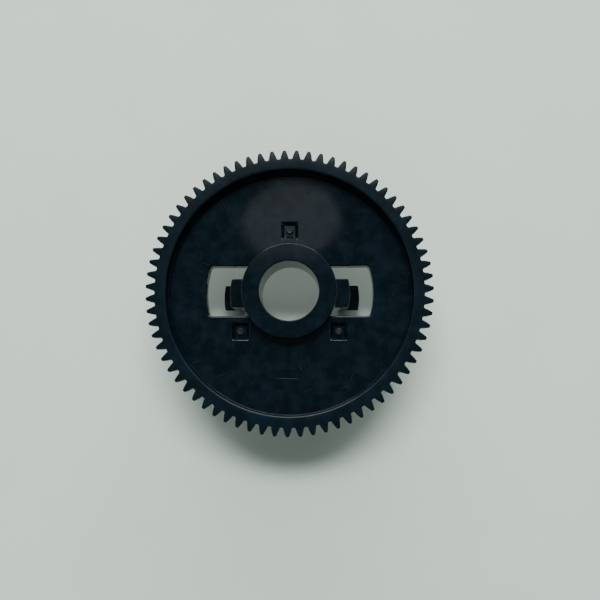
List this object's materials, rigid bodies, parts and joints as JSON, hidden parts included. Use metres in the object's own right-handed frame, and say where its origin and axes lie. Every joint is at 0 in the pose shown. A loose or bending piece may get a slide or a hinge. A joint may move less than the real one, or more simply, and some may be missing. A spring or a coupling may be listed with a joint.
{
  "type": "snap-in spur gear",
  "caption": "Moulded plastic spur gear with a plain bore, a recessed web with side windows, and snap fingers with outward catches behind it.",
  "frame": {"origin": "on the gear axis, in the plane of the snap fingers' free ends", "axes": "+Z along the gear axis towards the toothed front face, +X through the middle of the right snap finger"},
  "size_m": [0.0584, 0.0584, 0.0181],
  "materials": {
    "black_plastic": "semi-gloss moulded"
  },
  "bodies": {
    "gear": {"toothed_rim": "black_plastic", "web_disc": "black_plastic", "hub_sleeve": "black_plastic"},
    "snap_finger_left": {"snap_finger_left": "black_plastic"},
    "snap_finger_right": {"snap_finger_right": "black_plastic"}
  },
  "joints": [
    {"name": "snap_finger_right_flex", "type": "hinge", "parent": "gear", "child": "snap_finger_right", "pos_m": [0.0116, 0, 0.0108], "axis": [0, 1, 0], "range_deg": [0, 14], "stiffness_Nm_per_rad": 2.1},
    {"name": "snap_finger_left_flex", "type": "hinge", "parent": "gear", "child": "snap_finger_left", "pos_m": [-0.0116, 0, 0.0108], "axis": [0, -1, 0], "range_deg": [0, 14], "stiffness_Nm_per_rad": 2.1}
  ]
}
